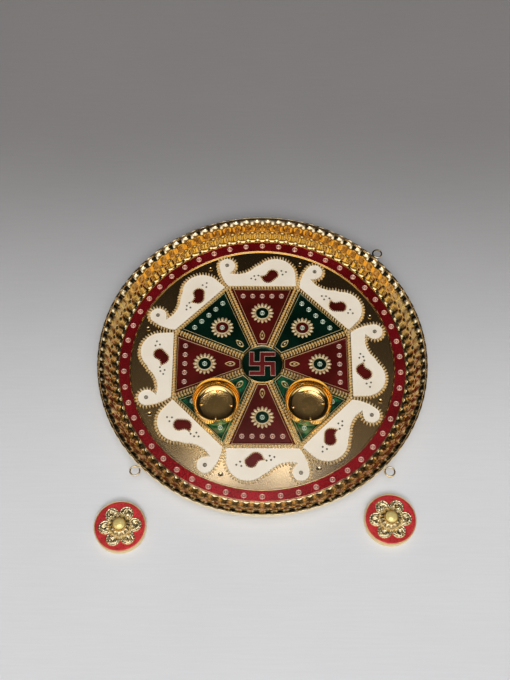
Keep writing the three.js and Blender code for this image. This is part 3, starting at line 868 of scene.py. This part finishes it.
FLORET_R = 1.75
ROW_Y = 48.5
ROW_PITCH = 6.2
row = [(ROW_PITCH * i, ROW_Y) for i in range(-2, 3)]
places = all_round(row, red_sides)
red_floret = floret("segment_floret", FLORET_R)
scattered("segment_florets_red", red_floret, places, ENAMEL_Z, rose_gold)
places = all_round(row, green_sides)
places += all_round([row[0], row[-1]], [SIDES.index(side) for side in CUP_SIDES])
green_floret = floret("segment_floret", FLORET_R)
scattered("segment_florets_green", green_floret, places, ENAMEL_Z, mint_gold)


def meniscus(points):
    """A strip of enamel that climbs the gold line round a segment."""
    outline = [Vector(p) for p in points]
    count = len(outline)

    def inset(distance):
        corners = []
        for i in range(count):
            back = (outline[i] - outline[i - 1]).normalized()
            on = (outline[(i + 1) % count] - outline[i]).normalized()
            away = Vector((-back.y, back.x)) + Vector((-on.y, on.x))
            corners.append(outline[i] + away * (distance / (1 + back.dot(on))))
        return corners

    rows = [(0.0, 1.3), (0.0, 1.68), (0.22, 1.56), (0.5, 1.49), (0.9, 1.455), (0.9, 1.3)]
    points = [(x, y, z) for distance, z in rows for x, y in inset(distance)]
    return points, bands(len(rows), count, loop=True)


for first, colour, glass in ((0, "dark_red", dark_red), (1, "green", green)):
    strips = [meniscus(in_sector(frame_line, k)) for k in range(first, SECTORS, 2)]
    dress(joined(f"segment_edges_{colour}", strips), glass, crease=50)

ROSETTE_Y = 36.1
ROSETTE_PETALS = 16
PETAL_MIDDLE = 6.0
HUB_R = 4.75
half_petal = [(4.4, 0.42), (5.0, 0.70), (5.7, 0.90), (6.3, 0.88), (6.9, 0.58)]
petal = [*half_petal, (7.5, 0.0), *((x, -y) for x, y in reversed(half_petal))]


def rosette():
    """Sixteen separate drop-shaped petals round a hub ring, open in the middle."""
    steps = [(1.0, 0.0), (0.97, 0.6), (0.92, 0.72), (0.86, 0.6), (0.83, 0.0)]
    parts = [hoop(ring_points(HUB_R, 32), steps)]
    outline = [(x - PETAL_MIDDLE, -y) for x, y in reversed(petal)]
    points, faces = knob(outline, [(1.0, 0.0), (0.86, 0.5), (0.45, 0.72)])
    for i in range(ROSETTE_PETALS):
        turn = 2 * math.pi * i / ROSETTE_PETALS
        c, s = math.cos(turn), math.sin(turn)
        moved = [(x + PETAL_MIDDLE, y, z) for x, y, z in points]
        parts.append(([(x * c - y * s, x * s + y * c, z) for x, y, z in moved], faces))
    return joined("rosette", parts)


places = all_round([(0, ROSETTE_Y)], open_sides)
scattered("rosettes", rosette(), places, ENAMEL_Z, cream_gold)
scattered("rosette_florets", floret("rosette_floret", FLORET_R), places, ENAMEL_Z, mint_gold)


def drop_outline(length, width, count=28):
    """A drop with its point along +Y, centred on the origin."""
    points = []
    for i in range(count):
        a = 2 * math.pi * i / count
        y = math.sin(a)
        x = math.cos(a) * (1 - 0.55 * max(y, 0.0) ** 1.2)
        points.append((x * width / 2, y * length / 2))
    return points


DROP_Y = 20.2
drop = drop_outline(6.6, 3.4)
wall = hoop(drop, [(1.0, 0.0), (0.97, 0.5), (0.86, 0.66), (0.72, 0.5), (0.68, 0.0)])
core = knob(drop, [(0.30, 0.0), (0.26, 0.45), (0.12, 0.6)])
parts = []
for k in range(SECTORS):
    for points, faces in (wall, core):
        spots = in_sector([(x, y + DROP_Y) for x, y, z in points], k)
        parts.append(([(x, y, ENAMEL_Z + z) for (x, y), (_, _, z) in zip(spots, points)], faces))
dress(joined("gold_drops", parts), pale_gold, crease=50)

# ---------------------------------------------------------------- Medallion
# A round green medallion in the middle, closed by a fine gold line, with the traditional
# auspicious sign of a ritual tray: four bent arms of red enamel in thin gold edges.
SIGN_HALF = 8.1
SIGN_BAR = 2.9
SIGN_EDGE_Z = 1.72
MEDALLION_LINE = (12.3, 13.0)
MEDALLION_LINE_Z = 1.78
glaze(green, ["medallion_enamel"])
bright_red = enamel(
    "bright_red_enamel", (0.13, 0.009, 0.009), (0.22, 0.016, 0.016),
    Metallic=0.3, Coat_Weight=1.0, Coat_Roughness=0.03,
)
glaze(bright_red, ["swastika"])
section = ring_section(*MEDALLION_LINE, MEDALLION_LINE_Z)
dress(turned("medallion_line", section, 96, loop=True), gold)
h, e = SIGN_BAR / 2, SIGN_HALF
arm = [(-h, e), (e, e), (e, e - SIGN_BAR), (h, e - SIGN_BAR), (h, h)]
sign = all_round(arm, range(0, -SECTORS, -2))
wired("sign_edges", [sign], 0.2, SIGN_EDGE_Z, loop=True, material=rose_gold)
climb = [(12.35, 1.3), (12.35, 1.72), (12.0, 1.58), (11.5, 1.49), (10.9, 1.455), (10.9, 1.3)]
dress(turned("medallion_edge", climb, 96, loop=True), green, crease=50)

# ---------------------------------------------------------------- Cups
# Two small spun cups with mirror walls, rolled lips and four embossed pips in the floor,
# soldered over two of the segments to hold the coloured powders.


def mirror_pattern(place):
    patch = place.cloud(90, 2)
    grain = place.cloud(2600, 1)
    return {
        "Base Color": patch.blend((0.97, 0.70, 0.29), (0.94, 0.66, 0.25)),
        "Roughness": 0.06 + 0.08 * grain,
        "Normal": (patch + 0.02 * grain).relief(0.00002, 0.5),
    }


mirror_gold = finish("mirror_gold_plate", mirror_pattern, Metallic=1.0)


def middle(node):
    low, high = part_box(node)
    return [(low[i] + high[i]) / 2 / MM for i in range(2)]


CUP_FLOOR = [
    (0, 2.0), (5.0, 2.0), (9.6, 2.0), (10.7, 2.12), (11.7, 2.5),
    (12.6, 3.1), (13.25, 3.95), (13.65, 4.9), (13.8, 6.0),
]
CUP_WALL = [(13.83, 7.2), (13.85, 9.6), (13.9, 10.9), (13.95, 11.25), (14.1, 11.43), (14.3, 11.43)]
CUP_OUTSIDE = [
    (14.4, 11.3), (14.4, 10.9), (14.36, 9.6), (14.4, 6.5),
    (14.4, 3.85), (14.1, 2.75), (13.4, 1.9), (12.0, 1.45), (0, 1.45),
]
CUP_PIP_R = 1.05
CUP_PIP_AT_R = 9.1
CUP_PIP_STEPS = [(1.0, 0.0), (0.85, 0.22), (0.6, 0.34), (0.3, 0.4)]


def cup(side, turn):
    centre = middle(f"cup_{side}")
    profile = list(reversed(CUP_FLOOR + CUP_WALL + CUP_OUTSIDE))
    spun = turned(f"cup_{side}_spun", profile, 96, centre)
    dress(spun, mirror_gold, stands_for=[f"cup_{side}"], crease=30)
    turns = [math.radians(90 * i + turn) for i in range(4)]
    reach = CUP_PIP_AT_R
    places = [(centre[0] + reach * math.cos(a), centre[1] + reach * math.sin(a)) for a in turns]
    pip = relief_mesh("cup_pip", ring_points(CUP_PIP_R, 20), (0, 0), CUP_PIP_STEPS)
    scattered(f"cup_{side}_pips", pip, places, 1.98, mirror_gold)


cup("left", -2)
cup("right", 8)

# ---------------------------------------------------------------- Wire eyes
# Three small rings of gold wire with a short stem, soldered flat under the rolled lip, where
# hanging beads can be tied on.
WIRE = 0.55
EYE_R = 2.85
EYE_AT_R = 105.4
EYE_Z = 12.05
STEM = (101.0, 102.5)
for side, angle in (("back_right", 45), ("front_left", -135), ("front_right", -45)):
    a = math.radians(angle)
    cx, cy = EYE_AT_R * math.cos(a), EYE_AT_R * math.sin(a)
    ring = arc(cx, cy, EYE_R, angle + 180, angle + 525, 40)
    stem = [(r * math.cos(a), r * math.sin(a)) for r in STEM]
    eye = grow(lines(f"eye_{side}_wire", [ring, stem], EYE_Z), wire_lines, gold, Radius=WIRE * MM)
    dress(eye, gold, stands_for=[f"eye_{side}"], crease=50)

# ---------------------------------------------------------------- Lids
# Two loose caps for the cups: a spun gold cap with a skirt, red enamel round the top, and a
# cast filigree flower of six scrolled lobes. A beaded dome of leaves on it carries a yellow
# stone in a bezel.
LOBES = 6
LOBE_R = 4.3
LOBE_AT = 8.3
LOBE_TOP = 1.0
FLOWER_BASE = 4.2
FLOWER_HOLE_R = 3.2
FLOWER_RINGS = 30
STEPS_PER_LOBE = 30


def lobe_height(x, y):
    """Height of the filigree over its base for a point in one lobe's own frame."""
    rho = math.hypot(x, y) / LOBE_R
    dome = 0.55 * max(0.0, 1 - rho * rho)
    ripple = 0.75 + 0.25 * math.cos(14 * math.atan2(y, x))
    rim = 0.55 * math.exp(-(((rho - 0.88) / 0.085) ** 2)) * ripple
    swirl = math.atan2(y, x) + 5.2 * rho
    scroll = 0.55 * math.exp(-(((rho - 0.56) / 0.13) ** 2)) * (0.5 + 0.5 * math.cos(4 * swirl))
    hole = math.exp(-(((x - 0.9) / 1.0) ** 2 + ((y - 0.3) / 0.75) ** 2) ** 1.5)
    hole += 0.6 * math.exp(-(((x + 1.5) / 0.7) ** 2 + ((abs(y) - 1.7) / 0.6) ** 2) ** 1.5)
    return LOBE_TOP * (0.35 + dome * 0.6 + rim * 0.6 + scroll) - 0.9 * hole


def flower_mesh(name, centre, turn):
    """The filigree: rings of points from its lobed edge inward, then a flat underside."""
    angles = LOBES * STEPS_PER_LOBE
    points = []
    for j in range(FLOWER_RINGS + 1):
        for i in range(angles):
            a = 2 * math.pi * i / angles
            local = (a + math.pi / LOBES) % (2 * math.pi / LOBES) - math.pi / LOBES
            across = LOBE_AT * math.sin(local)
            edge = LOBE_AT * math.cos(local) + math.sqrt(LOBE_R ** 2 - across ** 2)
            r = FLOWER_HOLE_R + (edge - FLOWER_HOLE_R) * (1 - j / FLOWER_RINGS)
            x, y = r * math.cos(local) - LOBE_AT, r * math.sin(local)
            rise = 0.15 if j == 0 else max(0.12, lobe_height(x, y))
            x, y = centre[0] + r * math.cos(a + turn), centre[1] + r * math.sin(a + turn)
            points.append((x, y, FLOWER_BASE + rise))
    outer_under = len(points)
    inner = FLOWER_RINGS * angles
    inner_under = outer_under + angles
    for x, y, _ in points[:angles] + points[inner:]:
        points.append((x, y, FLOWER_BASE - 0.3))
    faces = bands(FLOWER_RINGS + 1, angles)
    for i in range(angles):
        n = (i + 1) % angles
        faces.append((outer_under + i, outer_under + n, n, i))
        faces.append((inner + i, inner + n, inner_under + n, inner_under + i))
        faces.append((inner_under + i, inner_under + n, outer_under + n, outer_under + i))
    return seed(name, points, faces=faces)


# The filigree's pale cream gold is painted paler than the plate, as a painted highlight.
def cast_pattern(place):
    patch = place.cloud(700, 3)
    return {
        "Base Color": patch.blend((0.99, 0.86, 0.56), (0.96, 0.79, 0.45)),
        "Roughness": 0.18 + 0.16 * patch,
        "Normal": patch.relief(0.00012, 0.6),
    }


cast_gold = finish("cast_filigree_gold", cast_pattern, Metallic=1.0)


def lid_glow_pattern(place):
    tone = place.cloud(150, 3)
    inputs = {"Vector": place, "Scale": 900.0}
    facets = place.node("ShaderNodeTexVoronoi", {}, inputs, "Distance")
    return {
        "Base Color": tone.between(0.3, 0.7).blend((0.55, 0.022, 0.026), (0.78, 0.045, 0.050)),
        "Roughness": 0.2 + 0.25 * facets,
        "Normal": facets.relief(0.00015, 0.5),
    }


lid_red = finish(
    "lid_red_enamel", lid_glow_pattern, Metallic=0.45, Coat_Weight=1.0, Coat_Roughness=0.03
)


def stone_pattern(place):
    cloudy = place.cloud(260, 3)
    # Painted shade: the stone's colour darkens towards its edge as it turns from the camera, leaving
    # its middle bright.
    painted_edge_shade = place.node("ShaderNodeLayerWeight", {}, {"Blend": 0.5}, "Facing").between(0.15, 0.75)
    top = cloudy.blend((0.90, 0.66, 0.16), (0.99, 0.86, 0.42))
    return {
        "Base Color": painted_edge_shade.blend(top, (0.50, 0.27, 0.03)),
        "Roughness": 0.08 + 0.10 * cloudy,
        "Normal": cloudy.relief(0.0002, 0.4),
    }


stone_yellow = finish(
    "yellow_paste_stone", stone_pattern, Metallic=0.35, Coat_Weight=1.0, Coat_Roughness=0.02
)


# Sections of the turned pieces, radius and height from the table
SKIRT_INSIDE = [(0, 3.3), (14.2, 3.3), (14.6, 3.15), (14.7, 2.9), (14.7, 0.15), (14.8, 0.0)]
SKIRT_OUTSIDE = [(14.97, 0.0), (15.12, 0.15), (15.12, 0.9), (15.04, 1.1), (15.12, 1.3), (15.12, 4.0)]
CAP_TOP = [
    (15.06, 4.28), (14.92, 4.4), (14.75, 4.4), (14.58, 4.28), (14.52, 4.0), (14.5, 3.9), (0, 3.9),
]
POUR = [
    (0, 3.92), (14.4, 3.92), (14.42, 4.16), (14.2, 4.2),
    (13.4, 4.16), (9.0, 4.14), (4.0, 4.14), (0, 4.14),
]
BEZEL = [
    (4.25, 7.0), (4.3, 7.5), (4.1, 8.3), (4.05, 8.9), (3.9, 9.1),
    (3.7, 9.1), (3.55, 8.9), (3.5, 7.8), (3.4, 7.0),
]
CABOCHON = [(0, 7.9), (3.4, 7.9), (3.48, 9.0), (3.1, 9.45), (2.3, 9.85), (1.2, 10.05), (0, 10.1)]
DOME_R = 6.6
DOME_STEPS = [
    (0.91, 4.3), (1.0, 5.3), (0.985, 5.7), (0.95, 6.05), (0.9, 6.3),
    (0.83, 6.6), (0.76, 6.9), (0.65, 7.2), (0.45, 7.35),
]
LEAVES = 12
DOME_BEADS_R = 6.55
DOME_BEADS_Z = 5.55


def dome_leaf(share, turn):
    """How the dome's height falls between its pressed leaves."""
    valley = (1 - math.cos(2 * math.pi * LEAVES * turn)) / 2
    return -0.55 * valley ** 2 if 0.7 < share < 0.97 else 0.0


def lid(side, turn):
    body = f"lid_{side}"
    centre = middle(f"{body}_cap")
    cap = turned(f"{body}_spun_cap", SKIRT_INSIDE + SKIRT_OUTSIDE + CAP_TOP, 96, centre)
    dress(cap, pale_gold, body, [f"{body}_cap"], crease=30)
    pour = turned(f"{body}_poured_enamel", POUR, 96, centre)
    dress(pour, lid_red, body, [f"{body}_enamel"])
    flower = flower_mesh(f"{body}_filigree", centre, turn)
    dress(flower, cast_gold, body, [f"{body}_flower"], crease=60)
    outline = [(x + centre[0], y + centre[1]) for x, y in ring_points(DOME_R, 96)]
    dome = relief_mesh(f"{body}_dome", outline, centre, DOME_STEPS, dome_leaf)
    dress(dome, cast_gold, body, crease=60)
    bezel = turned(f"{body}_bezel_ring", BEZEL, 64, centre, loop=True)
    dress(bezel, mirror_gold, body, [f"{body}_bezel"])
    stone = turned(f"{body}_cabochon", CABOCHON, 48, centre)
    dress(stone, stone_yellow, body, [f"{body}_stone"])
    around = [(x + centre[0], y + centre[1]) for x, y in ring_points(DOME_BEADS_R, 60)]
    beads = (1.25, 1.25, 1.25)
    beaded(f"{body}_dome_beads", [around], 1.37, beads, z=DOME_BEADS_Z, loop=True, body=body)


lid("left", 0.10)
lid("right", 0.03)
